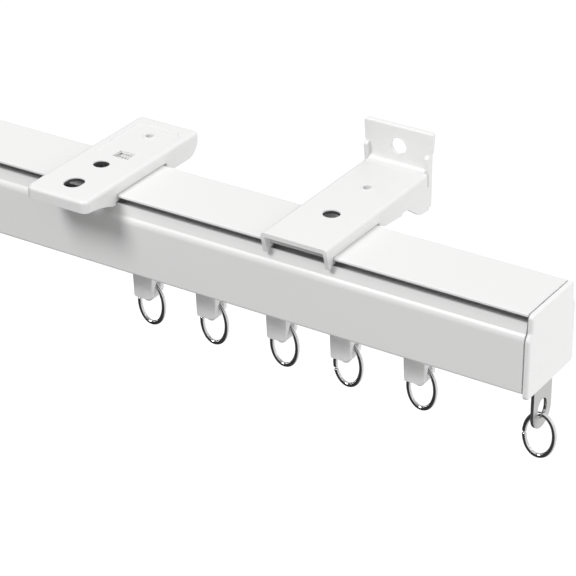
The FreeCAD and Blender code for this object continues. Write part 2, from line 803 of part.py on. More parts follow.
def make_wall_bracket():
    body = make_body("wall_bracket")
    front, rise, sheet_t = size("wall_front"), size("bracket_rise"), size("sheet_thickness")
    plate_front = size("wall_face_y") - sheet_t
    half = size("wall_width") / 2
    seat = size("bracket_seat")
    behind = claw_inside + sheet_t
    side = [
        (-front, rise),
        (-front, rise - sheet_t),
        (-claw_outside - sheet_t * 1.6, seat),
    ]
    side += list(reversed(front_claw()))
    side += [
        (behind, seat),
        (behind + 0.4, -1.0),
        (behind + 3.0, -2.2),
        (behind + 12.0, -3.0),
        (behind + 12.6, -2.3),
        (behind + 15.2, -2.6),
        (plate_front - 5.6, -6.6),
        (plate_front - 4.6, -7.1),
        (plate_front, -size("wall_plate_bottom")),
        (plate_front, rise + size("ear_height")),
        (plate_front - size("ear_run") / 2, rise + size("ear_height")),
        (plate_front - size("ear_run"), rise + size("ear_height") - 0.7),
        (plate_front - size("ear_root") - 0.2, rise + 1.6),
        (plate_front - size("ear_root"), rise),
    ]
    profile = outline(body, "wall_side", "YZ_Plane", side)
    add_pad(body, profile, size("wall_width"), "Symmetric")
    over = outline(body, "wall_over_web", "YZ_Plane", [
        (plate_front - size("ear_run") - 1, rise),
        (plate_front + 1, rise),
        (plate_front + 1, rise + size("ear_height") * 2),
        (plate_front - size("ear_run") - 1, rise + size("ear_height") * 2),
    ])
    add_pocket(body, over, (half - sheet_t) * 2, "Symmetric")
    under = outline(body, "wall_under_web", "YZ_Plane", [
        (-front - 1, rise - sheet_t),
        (plate_front - sheet_t, rise - sheet_t),
        (plate_front + 1, rise - sheet_t * 2),
        (plate_front + 1, -size("wall_plate_bottom") - 1),
        (-front - 1, -size("wall_plate_bottom") - 1),
    ])
    add_pocket(body, under, (half - sheet_t) * 2, "Symmetric")
    half_plate, bevel = size("wall_plate_width") / 2, size("wall_plate_bevel")
    top, bottom = size("wall_plate_top"), size("wall_plate_bottom")
    shoulder = rise + size("ear_height")
    right_side = [
        (half - bevel, -bottom),
        (half, -bottom + bevel),
        (half, shoulder),
        (half_plate - size("wall_plate_taper"), shoulder + 0.4),
        (half_plate, top - 0.5),
        (half_plate - 0.5, top),
    ]
    plate = outline(body, "wall_plate", "XZ_Plane", mirrored(right_side), offset=-size("wall_face_y"))
    add_pad(body, plate, sheet_t)
    add_round(body, "wall_plate_top_edge", size("wall_plate_edge"),
              lambda e: runs_along(e, 0) and near(e.Vertexes[0].Y, plate_front)
              and near(e.Vertexes[0].Z, top))
    add_round(body, "wall_bend", size("arm_bend"),
              lambda e: runs_along(e, 0) and near(e.Vertexes[0].Y, plate_front)
              and near(e.Vertexes[0].Z, rise))
    add_round(body, "wall_arm_folds", size("fold_radius"),
              lambda e: runs_along(e, 1) and near(abs(e.Vertexes[0].X), half)
              and near(e.Vertexes[0].Z, rise))
    for side, label, outward in ((1, "wall_right_slit", True), (-1, "wall_left_slit", False)):
        slit = outline(body, label, "YZ_Plane", [
            (plate_front - size("ear_root") - size("ear_slit"), -size("ear_slit_drop")),
            (plate_front - size("ear_root"), -size("ear_slit_drop")),
            (plate_front - size("ear_root"), rise + 1),
            (plate_front - size("ear_root") - size("ear_slit"), rise + 1),
        ], offset=side * (half - sheet_t))
        add_pocket(body, slit, sheet_t + 1, reverse=outward)
    stop_tab(body, "wall", size("wall_rivet_y"))
    for name, y, radius in (
        ("wall_arm_hole", size("arm_hole_y"), size("arm_hole") / 2),
        ("wall_rivet_hole", size("wall_rivet_y"), size("rivet_hole")),
    ):
        add_pocket(body, circle(body, name, "XY_Plane", (0, y), radius, offset=rise), sheet_t * 2)
    hole = circle(body, "wall_plate_hole", "XZ_Plane", (0, size("wall_hole_z")),
                  size("wall_hole") / 2, offset=-size("wall_face_y"))
    add_pocket(body, hole, sheet_t * 2, reverse=True)
    return put_at(body, size("wall_bracket_x"))


# Latches: a folded slide under each bracket's web that hooks into the rail's rear groove

def make_latch(name, x, width, front, rivet_y, ribbed):
    body = make_body(name)
    sheet_t, reach = size("latch_sheet"), rivet_y + size("latch_travel")
    bottom = size("spring_axis_drop") * 2
    side = outline(body, name + "_side", "YZ_Plane", [
        (front, leaf_top),
        (front, leaf_underside),
        (claw_inside - 2.0, leaf_underside),
        (claw_inside - 1.4, size("claw_gap")),
        (claw_inside, size("claw_gap")),
        (claw_inside, -nib_top),
        (nib_tip, -nib_top),
        (nib_tip, -nib_underside),
        (claw_outside, -nib_underside),
        (claw_outside + 0.2, -size("claw_drop")),
        (claw_outside + sheet_t * 1.2, -size("claw_drop")),
        (claw_outside + sheet_t * 2.4, -bottom + sheet_t * 0.6),
        (reach - sheet_t, -bottom + sheet_t * 0.6),
        (reach, -sheet_t),
        (reach, leaf_top),
    ])
    half = width / 2 - size("sheet_thickness") - size("latch_side_gap")
    add_pad(body, side, half * 2, "Symmetric")
    under = outline(body, name + "_under", "YZ_Plane", [
        (front - 1, leaf_underside),
        (reach + 1, leaf_underside),
        (reach + 1, -size("claw_drop") - 1),
        (front - 1, -size("claw_drop") - 1),
    ])
    add_pocket(body, under, (half - sheet_t) * 2, "Symmetric")
    tongue_back = rivet_y - size("tongue_back")
    tongue = outline(body, name + "_tongue", "YZ_Plane", [
        (tongue_back - sheet_t, leaf_underside),
        (tongue_back, leaf_underside),
        (tongue_back, -bottom),
        (tongue_back - sheet_t, -bottom),
    ])
    add_pad(body, tongue, size("tongue_width"), "Symmetric")
    fork = size("rivet_radius") + size("latch_gap")
    fork_root = rivet_y - size("rivet_radius") - size("latch_travel") - size("latch_gap") * 2
    slot = outline(body, name + "_fork", "XY_Plane", [
        (-fork, fork_root), (fork, fork_root), (fork, reach + 1), (-fork, reach + 1),
    ], offset=leaf_top)
    add_pocket(body, slot, sheet_t * 1.5)
    if ribbed:
        add_latch_ribs(body, name)
    return put_at(body, x)


def add_latch_ribs(body, name):
    """Finger ribs that stand up into the ceiling bracket's window and stop at its back edge."""
    count = 4
    back = size("window_y") + size("window_depth") / 2 - size("latch_travel") - size("claw_gap")
    start = size("window_y") - size("window_depth") / 2 + size("claw_gap")
    pitch = size("window_width") / (count + 1)
    rib = pitch * 0.35
    for index in range(count):
        middle = size("window_x") + pitch * (index - (count - 1) / 2)
        ridge = outline(body, "%s_rib_%d" % (name, index + 1), "XY_Plane", [
            (middle - rib / 2, start),
            (middle + rib / 2, start),
            (middle + rib / 2, back),
            (middle - rib / 2, back),
        ], offset=leaf_top - 0.1)
        add_pad(body, ridge, size("latch_gap") + size("sheet_thickness") / 2)


def make_latch_spring(name, x, rivet_y):
    """Compression spring between the latch's tongue and the bracket's stop tab."""
    play = size("latch_gap") / 2
    wire, radius = size("spring_wire"), size("spring_radius")
    start = rivet_y - size("tongue_back") + play + wire / 2
    length = size("tongue_back") + size("stop_back") - play * 2 - wire
    coil = doc.addObject("Part::Helix", name + "_line")
    bind(coil, "Pitch", size("spring_pitch"))
    bind(coil, "Height", length)
    bind(coil, "Radius", radius)
    section = doc.addObject("Part::Circle", name + "_section")
    bind(section, "Radius", wire / 2)
    section.Placement = Placement(Vector(0, 0, 0), Rotation(Vector(1, 0, 0), 90))
    bind(section, "Placement.Base.x", radius)
    sweep = doc.addObject("Part::Sweep", name)
    sweep.Label = name
    sweep.Sections = [section]
    sweep.Spine = (coil, ["Edge1"])
    sweep.Solid = True
    sweep.Frenet = True
    sweep.Placement = Placement(Vector(0, 0, 0), Rotation(Vector(1, 0, 0), -90))
    bind(sweep, "Placement.Base.x", x)
    bind(sweep, "Placement.Base.y", start)
    bind(sweep, "Placement.Base.z", -size("bracket_rise") - size("spring_axis_drop"))
    return sweep


def make_latch_rivet(name, x, y, sink):
    """Hollow rivet: its flange lies on the web, its foot keeps the latch's forked tail up."""
    body = make_body(name)
    shank, bore = size("rivet_radius"), size("rivet_bore")
    flange, foot = size("rivet_flange"), size("rivet_foot")
    web = size("sheet_thickness") - sink
    under = web + size("latch_gap") * 2 + size("latch_sheet")
    half_section = outline(body, name + "_section", "XZ_Plane", [
        (bore, size("rivet_flange_height")),
        (flange * 0.8, size("rivet_flange_height")),
        (flange, 0),
        (shank, 0),
        (shank, -under),
        (foot, -under),
        (foot, -under - size("rivet_foot_height")),
        (bore, -under - size("rivet_foot_height")),
    ])
    add_turn(body, half_section, "V_Axis")
    if x is not None:
        bind(body, "Placement.Base.x", x)
    bind(body, "Placement.Base.y", y)
    bind(body, "Placement.Base.z", -sink)
    return body


def make_group(name, members):
    """Like fasteners kept in one node, as separate solids."""
    group = doc.addObject("Part::Compound", name)
    group.Label = name
    group.Links = members
    return group


# The assembly

nodes = [make_rail()]
screws = []
for end, turned, side in (("right", 0.0, 1), ("left", 180.0, -1)):
    nodes.append(make_end_cap(end + "_end_cap", side * rail_end, turned))
    nodes.append(make_hook_plate(end + "_hook_plate", side * rail_end, turned))
    screws.append(make_hook_screw(end + "_hook_screw", side * (rail_end - size("screw_setback"))))
    eye_floor = -size("eye_top") - size("eye_height")
    hang = eye_floor + size("ring_play") + size("ring_wire") / 2
    middle = side * (rail_end - size("strip_thickness") / 2)
    nodes.append(make_ring(end + "_end_ring", middle, hang, 270.0, size("end_ring_turn").number + turned))
nodes.append(make_group("hook_screws", screws))

nodes.append(make_ceiling_bracket())
nodes.append(make_wall_bracket())
nodes.append(make_latch("ceiling_latch", formula(0), size("ceiling_width"), size("ceiling_latch_front"),
                        size("ceiling_rivet_y"), True))
nodes.append(make_latch("wall_latch", size("wall_bracket_x"), size("wall_width"),
                        size("wall_latch_front"), size("wall_rivet_y"), False))
nodes.append(make_latch_spring("ceiling_latch_spring", formula(0), size("ceiling_rivet_y")))
nodes.append(make_latch_spring("wall_latch_spring", size("wall_bracket_x"), size("wall_rivet_y")))
nodes.append(make_group("latch_rivets", [
    make_latch_rivet("ceiling_latch_rivet", None, size("ceiling_rivet_y"), size("panel_sink")),
    make_latch_rivet("wall_latch_rivet", size("wall_bracket_x"), size("wall_rivet_y"), formula(0)),
]))

ring_hang = -size("bridge_top") + size("ring_play") + size("ring_wire") / 2
stations = [rail_end - size("last_runner_back")]
for step in range(4, 0, -1):
    stations.insert(0, stations[0] - size("runner_step_%d" % step))
for number, station in enumerate(stations, 1):
    nodes.append(make_hanger("runner_%d_hanger" % number, station))
    nodes.append(make_axle("runner_%d_axle" % number, station))
    nodes.append(make_wheel("runner_%d_front_wheel" % number, station, -1))
    nodes.append(make_wheel("runner_%d_rear_wheel" % number, station, 1))
    split = 250.0 if number == 4 else 0.0
    nodes.append(make_ring("runner_%d_ring" % number, station + size("ring_offset"), ring_hang, split))

doc.recompute()

# Checks before anything is written

faults = [item.Label for item in doc.Objects if "Invalid" in item.State or "Error" in item.State]
for node in nodes:
    if node.Shape.isNull() or not node.Shape.isValid() or not node.Shape.Solids:
        faults.append(node.Label + " has no valid shape")
if faults:
    raise ValueError("Failed: " + ", ".join(faults))

os.makedirs("parts", exist_ok=True)
for node in nodes:
    node.Shape.exportStep("parts/%s.step" % node.Label)
    print("%-24s solids %d  volume %9.2f" % (node.Label, len(node.Shape.Solids), node.Shape.Volume))
print(len(nodes), "nodes")
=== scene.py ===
import json
import math
import bpy
import bmesh
import numpy as np
from mathutils import Matrix, Vector


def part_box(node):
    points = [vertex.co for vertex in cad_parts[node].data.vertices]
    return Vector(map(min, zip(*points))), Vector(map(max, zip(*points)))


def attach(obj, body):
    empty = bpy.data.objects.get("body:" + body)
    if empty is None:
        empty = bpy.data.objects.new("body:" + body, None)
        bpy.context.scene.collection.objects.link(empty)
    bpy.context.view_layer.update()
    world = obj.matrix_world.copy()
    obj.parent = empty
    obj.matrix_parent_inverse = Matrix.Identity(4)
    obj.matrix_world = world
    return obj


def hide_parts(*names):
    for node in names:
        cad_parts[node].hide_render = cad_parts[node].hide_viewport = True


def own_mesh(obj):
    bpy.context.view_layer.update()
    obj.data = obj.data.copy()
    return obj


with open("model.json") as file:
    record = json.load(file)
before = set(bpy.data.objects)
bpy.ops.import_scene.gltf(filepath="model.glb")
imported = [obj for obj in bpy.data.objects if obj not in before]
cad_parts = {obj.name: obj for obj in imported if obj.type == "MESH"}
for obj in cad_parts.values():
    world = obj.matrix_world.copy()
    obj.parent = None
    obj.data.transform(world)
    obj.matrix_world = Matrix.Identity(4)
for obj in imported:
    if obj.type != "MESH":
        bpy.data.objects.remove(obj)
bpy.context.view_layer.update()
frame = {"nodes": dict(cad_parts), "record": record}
print("frame loaded:", len(frame["nodes"]), "nodes")


# surfaces on a grid

# Marks every face of the mesh as smooth.
def smoothFaces(mesh):
    mesh.polygons.foreach_set("use_smooth", np.ones(len(mesh.polygons), dtype=bool))


# Mesh object at the origin from an array of points and a list of faces.
def meshFrom(name, points, faces):
    mesh = bpy.data.meshes.new(name)
    mesh.from_pydata(points.reshape(-1, 3).tolist(), [], faces)
    mesh.update()
    obj = bpy.data.objects.new(name, mesh)
    bpy.context.scene.collection.objects.link(obj)
    smoothFaces(mesh)
    return obj


# Point (i, j) = centre i + radius i * (cos aj * normal i + sin aj * binormal i), aj going once round.
def tubeGrid(centres, normals, binormals, radii, sides):
    angles = np.linspace(0.0, 2.0 * np.pi, sides, endpoint=False)
    offsets = (np.cos(angles)[None, :, None] * normals[:, None, :]
               + np.sin(angles)[None, :, None] * binormals[:, None, :])
    return centres[:, None, :] + radii[:, None, None] * offsets


# Quads between neighbouring rows of the grid, and one many-sided face over each open end.
def tubeFaces(rows, sides):
    i, j = np.meshgrid(np.arange(rows - 1), np.arange(sides), indexing="ij")
    k = (j + 1) % sides
    quads = np.stack([i * sides + j, i * sides + k, (i + 1) * sides + k, (i + 1) * sides + j], axis=-1)
    faces = quads.reshape(-1, 4).tolist()
    faces.append(list(range(sides))[::-1])
    faces.append(list(range((rows - 1) * sides, rows * sides)))
    return faces


# Turns every face of a closed mesh to look outwards.
def outwards(obj):
    work = bmesh.new()
    work.from_mesh(obj.data)
    bmesh.ops.recalc_face_normals(work, faces=work.faces)
    work.to_mesh(obj.data)
    work.free()


# Keeps wide faces flat beside narrow ones: the smooth normals are weighted by the faces' areas.
def flatFaces(obj, keepSharp):
    weighted = obj.modifiers.new("flatFaces", "WEIGHTED_NORMAL")
    weighted.mode = "FACE_AREA"
    weighted.weight = 100
    weighted.keep_sharp = keepSharp


# Middle of a CAD node's box, halfway between its low and its high corner.
def boxMiddle(node):
    low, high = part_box(node)
    return (np.array(low) + np.array(high)) / 2


# rings of round wire

ringLook = {
    "width": 9.3e-3,
    "height": 13.6e-3,
    "wire": 1.25e-3,
    "split": 0.42e-3,       # width of the cut where the wire's ends meet
    # place of the cut in degrees, clockwise from the top as seen from the front
    "cutAt": {1: 278.0, 2: 278.0, 3: 286.0, 4: 250.0, 5: 286.0},
    "endCutAt": {"right": 270.0, "left": 90.0},
    "endTurn": 8.0,         # degrees that the end rings are turned about the vertical
    "endRound": 0.2e-3,     # how far from the cut the wire begins to narrow
    "endBlunt": 0.72,       # share of the wire's radius that is left at the cut
    "sides": 20,
    "steps": 120,
}


# Oval of wire: centre line x = a sin t, z = b cos t for t from just past the cut round to just before it.
# Near the cut the radius shrinks as a quarter ellipse, so the wire's ends are rounded off.
def splitRing(name, node, body, cutAt, turn=0.0):
    a = (ringLook["width"] - ringLook["wire"]) / 2
    b = (ringLook["height"] - ringLook["wire"]) / 2
    steps, sides = ringLook["steps"], ringLook["sides"]
    speedAtCut = math.hypot(a * math.cos(cutAt), b * math.sin(cutAt))
    half = ringLook["split"] / 2 / speedAtCut
    t = cutAt + np.linspace(half, 2 * np.pi - half, steps)
    across = np.array([math.cos(turn), math.sin(turn), 0.0])
    up = np.array([0.0, 0.0, 1.0])
    line = a * np.sin(t)[:, None] * across + b * np.cos(t)[:, None] * up
    tangent = a * np.cos(t)[:, None] * across - b * np.sin(t)[:, None] * up
    tangent /= np.linalg.norm(tangent, axis=1)[:, None]
    binormal = np.broadcast_to(np.cross(up, across), tangent.shape)
    normal = np.cross(binormal, tangent)
    radii = np.full(steps, ringLook["wire"] / 2)
    blunt = ringLook["endBlunt"]
    for end in (0, -1):
        distance = np.linalg.norm(line - line[end], axis=1)
        share = np.clip(distance / ringLook["endRound"], 0.0, 1.0)
        radii *= blunt + (1 - blunt) * np.sqrt(1 - (1 - share) ** 2)
    grid = tubeGrid(line + boxMiddle(node), normal, binormal, radii, sides)
    obj = meshFrom(name, grid, tubeFaces(steps, sides))
    outwards(obj)
    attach(obj, body)
    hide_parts(node)
    return obj


rings = []
for number, cutAt in ringLook["cutAt"].items():
    node = "runner_%d_ring" % number
    rings.append(splitRing("ringWire_%d" % number, node, node, math.radians(cutAt)))
for side, cutAt in ringLook["endCutAt"].items():
    node = side + "_end_ring"
    turn = math.radians(ringLook["endTurn"])
    rings.append(splitRing("ringWire_" + side, node, node, math.radians(cutAt), turn))
print("rings made:", len(rings))


# springs behind the latches

coilLook = {
    "radius": 1.0e-3,
    "wire": 0.4e-3,
    "pitch": 1.1e-3,
    "closed": 0.36,         # share of the pitch that is left at the closed ends
    "sides": 8,
    "stepsPerTurn": 20,
    "travel": 1.6e-3,
}


# Coil along Y: x = r cos t, z = r sin t, y = s(t), where s climbs more slowly over the first and the last
# turn, so that the ends close up.
def latchCoil(name, node):
    low, high = (np.array(corner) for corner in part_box(node))
    length = high[1] - low[1] - coilLook["wire"]
    turns = length / coilLook["pitch"] + 1.0
    t = np.linspace(0.0, 2 * np.pi * turns, int(turns * coilLook["stepsPerTurn"]))
    ends = np.clip(t / (2 * np.pi), 0, 1) * np.clip((t[-1] - t) / (2 * np.pi), 0, 1)
    lift = np.cumsum(coilLook["closed"] + (1 - coilLook["closed"]) * ends)
    lift = (lift - lift[0]) / (lift[-1] - lift[0]) * length
    centre = boxMiddle(node)
    r, first = coilLook["radius"], low[1] + coilLook["wire"] / 2
    line = np.stack([centre[0] + r * np.cos(t), first + lift, centre[2] + r * np.sin(t)], axis=1)
    tangent = np.gradient(line, axis=0)
    tangent /= np.linalg.norm(tangent, axis=1)[:, None]
    inward = np.stack([np.cos(t), np.zeros_like(t), np.sin(t)], axis=1)
    binormal = np.cross(tangent, inward)
    binormal /= np.linalg.norm(binormal, axis=1)[:, None]
    normal = np.cross(binormal, tangent)
    radii = np.full(len(t), coilLook["wire"] / 2)
    grid = tubeGrid(line, normal, binormal, radii, coilLook["sides"])
    obj = meshFrom(name, grid, tubeFaces(len(t), coilLook["sides"]))
    outwards(obj)
    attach(obj, "track")
    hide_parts(node)
    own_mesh(obj)
    return obj


coils = [latchCoil("coilWire_" + bracket, bracket + "_latch_spring") for bracket in ("ceiling", "wall")]
print("coils made:", len(coils))


# rail with its soft shoulder

railLook = {
    "halfLength": 133.5e-3,
    "topFace": -3.3e-3,
    "arcSteps": 10,
    "sharp": 30.0,          # degrees: edges that turn more stay sharp
    "unit": 1e-3,           # the section is written in mm
    # half of the section: distance from the middle, depth under the top face, softness of the corner
    "outside": [
        (5.2, 22.0, 0.15), (12.45, 22.0, 0.9), (12.45, 6.10, 1.08), (11.55, 5.20, 0.18),
        (11.02, 3.4, 0.9), (10.85, 2.15, 0.06), (10.55, 2.95, 0.1), (8.15, 2.95, 0.1),
        (8.15, 0.75, 0.1), (10.75, 0.75, 0.06), (10.75, 0.0, 0.4),
    ],
    "inside": [
        (5.2, 20.8, 0.15), (11.35, 20.8, 0.4), (11.35, 7.07, 0.3), (9.75, 5.27, 0.3),
        (9.75, 4.05, 0.2), (7.05, 4.05, 0.2), (7.05, 1.1, 0.3),
    ],
}


# Closed outline with softened corners: within the distance t of a corner c, the outline follows
# (1-s)^2 (c + t a) + 2 s (1-s) c + s^2 (c + t b), with a and b pointing to the corners before and after.
def softOutline(corners, reach, steps):
    before = np.roll(corners, 1, axis=0) - corners
    after = np.roll(corners, -1, axis=0) - corners
    before /= np.linalg.norm(before, axis=1)[:, None]
    after /= np.linalg.norm(after, axis=1)[:, None]
    s = np.linspace(0.0, 1.0, steps)[None, :, None]
    a, b, c = before[:, None, :], after[:, None, :], corners[:, None, :]
    t = reach[:, None, None]
    points = (1 - s) ** 2 * (c + t * a) + 2 * s * (1 - s) * c + s ** 2 * (c + t * b)
    return points.reshape(-1, 2)


# The outline (y, z) is carried straight along x from one end of the rail to the other.
def railShell():
    outside = np.array(railLook["outside"])
    inside = np.array(railLook["inside"])
    mirror = np.array([-1.0, 1.0, 1.0])
    section = np.concatenate([outside, (outside * mirror)[::-1], inside * mirror, inside[::-1]])
    unit = railLook["unit"]
    outline = softOutline(section[:, :2] * [unit, -unit], section[:, 2] * unit, railLook["arcSteps"])
    count = len(outline)
    ends = np.array([-1.0, 1.0])[:, None, None] * railLook["halfLength"]
    outlines = np.broadcast_to(outline + [0.0, railLook["topFace"]], (2, count, 2))
    grid = np.concatenate([np.broadcast_to(ends, (2, count, 1)), outlines], axis=2)
    obj = meshFrom("railShell", grid, tubeFaces(2, count))
    outwards(obj)
    obj.data.set_sharp_from_angle(angle=math.radians(railLook["sharp"]))
    flatFaces(obj, keepSharp=True)
    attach(obj, "track")
    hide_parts("rail")
    return obj


rail = railShell()
print("rail made:", len(rail.data.polygons), "faces")


# folded and moulded pieces with their sharp edges eased

easeLook = {
    "merge": 1e-6,          # corners nearer than this become one
    "flat": 0.6,            # degrees: triangles that turn less become one face
    "sharp": 30.0,          # degrees: edges that turn more are eased
    "steps": 2,
    # node by node: the body that carries it and the width of its eased edges
    "edges": {
        "ceiling_bracket": ("track", 0.22e-3),
        "wall_bracket": ("track", 0.22e-3),
        "right_hook_plate": ("track", 0.06e-3),
        "left_hook_plate": ("track", 0.06e-3),
        "right_end_cap": ("track", 0.12e-3),
        "left_end_cap": ("track", 0.12e-3),
    },
    "hangerEdge": 0.25e-3,
}
for number in ringLook["cutAt"]:
    easeLook["edges"]["runner_%d_hanger" % number] = ("runner_%d" % number, easeLook["hangerEdge"])


# Copy of a CAD node: its triangles are merged into flat faces and its sharp edges get a narrow bevel.
def easedCopy(node, body, width):
    mesh = frame["nodes"][node].data.copy()
    work = bmesh.new()
    work.from_mesh(mesh)
    bmesh.ops.remove_doubles(work, verts=work.verts, dist=easeLook["merge"])
    flat = math.radians(easeLook["flat"])
    bmesh.ops.dissolve_limit(work, angle_limit=flat, verts=work.verts, edges=work.edges)
    bmesh.ops.recalc_face_normals(work, faces=work.faces)
    work.to_mesh(mesh)
    work.free()
    smoothFaces(mesh)
    obj = bpy.data.objects.new("eased_" + node, mesh)
    bpy.context.scene.collection.objects.link(obj)
    bevel = obj.modifiers.new("ease", "BEVEL")
    bevel.width = width
    bevel.segments = easeLook["steps"]
    bevel.limit_method = "ANGLE"
    bevel.angle_limit = math.radians(easeLook["sharp"])
    bevel.use_clamp_overlap = True
    flatFaces(obj, keepSharp=False)
    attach(obj, body)
    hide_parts(node)
    return obj


eased = {node: easedCopy(node, body, width) for node, (body, width) in easeLook["edges"].items()}
print("eased copies:", len(eased))


# nodes that the materials share

# One Math node; a number goes on its socket and an output is linked to it.
def mathNode(tree, operation, *values):
    node = tree.nodes.new("ShaderNodeMath")
    node.operation = operation
    for place, value in enumerate(values):
        if isinstance(value, float):
            node.inputs[place].default_value = value
        else:
            tree.links.new(value, node.inputs[place])
    return node.outputs[0]


# Straight fade: 0 at the start value and before it, 1 at the end value and past it.
def fadeNode(tree, value, start, end):
    node = tree.nodes.new("ShaderNodeMapRange")
    node.inputs["From Min"].default_value = start
    node.inputs["From Max"].default_value = end
    tree.links.new(value, node.inputs["Value"])
    return node.outputs[0]


# Object coordinates as three outputs x, y and z.
def objectPlace(tree):
    where = tree.nodes.new("ShaderNodeTexCoord")
    axes = tree.nodes.new("ShaderNodeSeparateXYZ")
    tree.links.new(where.outputs["Object"], axes.inputs[0])
    return axes.outputs["X"], axes.outputs["Y"], axes.outputs["Z"]


# Shader node group with named inputs (name, kind, default) and outputs (name, kind).
def newGroup(name, inputs, outputs):
    tree = bpy.data.node_groups.new(name, "ShaderNodeTree")
    for label, kind, default in inputs:
        item = tree.interface.new_socket(label, in_out="INPUT", socket_type=kind)
        item.default_value = default
    for label, kind in outputs:
        tree.interface.new_socket(label, in_out="OUTPUT", socket_type=kind)
    return tree, tree.nodes.new("NodeGroupInput"), tree.nodes.new("NodeGroupOutput")


grainLook = {
    "wideScale": 60.0,      # slow change of colour and roughness, in spots per metre
    "wideDetail": 3.0,
    "fineDetail": 2.0,
    "roughShare": 2.5,      # how much more the roughness changes than the colour
}


# Fine surface: w = variation * (wide noise - 1/2). The colour is multiplied by 1 + w, the roughness gets
# a share of w added, and the height is a fine noise.
def grainGroup():
    tree, entry, leave = newGroup("fineSurface", [
        ("Color", "NodeSocketColor", (0.8, 0.8, 0.8, 1.0)),
        ("Roughness", "NodeSocketFloat", 0.4),
        ("Variation", "NodeSocketFloat", 0.02),
        ("Grain Scale", "NodeSocketFloat", 900.0),
        ("Stretch", "NodeSocketVector", (1.0, 1.0, 1.0)),
    ], [("Color", "NodeSocketColor"), ("Roughness", "NodeSocketFloat"), ("Height", "NodeSocketFloat")])
    link = tree.links.new
    where = tree.nodes.new("ShaderNodeTexCoord")
    stretch = tree.nodes.new("ShaderNodeVectorMath")
    stretch.operation = "MULTIPLY"
    link(where.outputs["Object"], stretch.inputs[0])
    link(entry.outputs["Stretch"], stretch.inputs[1])
    wide = tree.nodes.new("ShaderNodeTexNoise")
    wide.inputs["Scale"].default_value = grainLook["wideScale"]
    wide.inputs["Detail"].default_value = grainLook["wideDetail"]
    link(stretch.outputs[0], wide.inputs["Vector"])
    fine = tree.nodes.new("ShaderNodeTexNoise")
    fine.inputs["Detail"].default_value = grainLook["fineDetail"]
    link(stretch.outputs[0], fine.inputs["Vector"])
    link(entry.outputs["Grain Scale"], fine.inputs["Scale"])
    centred = mathNode(tree, "SUBTRACT", wide.outputs["Fac"], 0.5)
    amount = mathNode(tree, "MULTIPLY", centred, entry.outputs["Variation"])
    rough = mathNode(tree, "MULTIPLY_ADD", amount, grainLook["roughShare"], entry.outputs["Roughness"])
    tint = tree.nodes.new("ShaderNodeHueSaturation")
    link(entry.outputs["Color"], tint.inputs["Color"])
    link(mathNode(tree, "ADD", amount, 1.0), tint.inputs["Value"])
    link(tint.outputs["Color"], leave.inputs["Color"])
    link(rough, leave.inputs["Roughness"])
    link(fine.outputs["Fac"], leave.inputs["Height"])
    return tree


fineSurface = grainGroup()


# finishes, with painted shade laid into the rail's grooves and the brackets' screw holes

white = (0.82, 0.82, 0.815)
zinc = (0.52, 0.52, 0.515)

# slot by slot: grain in spots per metre, metallic and milk as shares
finishes = {
    "rail_paint": dict(name="railPaintAndGrooveShade", color=white, roughness=0.42, variation=0.012, grain=1400.0,
                       bump=0.06, coat=0.15),
    "bracket_paint": dict(name="bracketPaintAndHoleShade", color=white, roughness=0.40, variation=0.012, grain=1400.0,
                          bump=0.08, coat=0.15),
    "rivet_steel": dict(name="rivetPaint", color=white, roughness=0.40, variation=0.012, grain=1400.0,
                        bump=0.08, coat=0.15),
    "latch_steel": dict(name="latchPaint", color=(0.72, 0.72, 0.715), roughness=0.42, variation=0.015,
                        grain=1400.0, bump=0.08, coat=0.1),
    "cap_plastic": dict(name="capPlastic", color=(0.86, 0.86, 0.855), roughness=0.28, variation=0.012,
                        grain=500.0, bump=0.03, coat=0.2, milk=0.1),
    "hanger_plastic": dict(name="hangerPlastic", color=(0.94, 0.94, 0.93), roughness=0.45, variation=0.03,
                           grain=700.0, bump=0.06, milk=0.7),
    "wheel_plastic": dict(name="wheelPlastic", color=(0.74, 0.74, 0.72), roughness=0.40, variation=0.03,
                          grain=700.0, bump=0.05, milk=0.2),
    "plate_steel": dict(name="platedStrip", color=zinc, roughness=0.28, variation=0.10, grain=900.0,
                        stretch=(1.0, 1.0, 0.12), bump=0.10, metallic=0.92),
    "screw_steel": dict(name="platedScrew", color=zinc, roughness=0.34, variation=0.10, grain=900.0,
                        bump=0.10, metallic=0.9),
    "axle_steel": dict(name="plainPin", color=zinc, roughness=0.30, variation=0.08, grain=900.0,
                       stretch=(1.0, 0.1, 1.0), bump=0.08, metallic=0.95),
    "spring_steel": dict(name="springWire", color=(0.45, 0.45, 0.45), roughness=0.32, variation=0.08,
                         grain=1200.0, bump=0.05, metallic=0.95),
    "ring_chrome": dict(name="ringChrome", color=(0.68, 0.68, 0.68), roughness=0.17, variation=0.03,
                        grain=1500.0, bump=0.02, metallic=1.0),
}

surfaceLook = {
    "reliefDepth": 0.1e-3,
    "coatRoughness": 0.15,
    "milkTint": (1.0, 0.98, 0.96),      # red, green and blue share of the milk's depth
    "milkDepth": 4e-3,
}


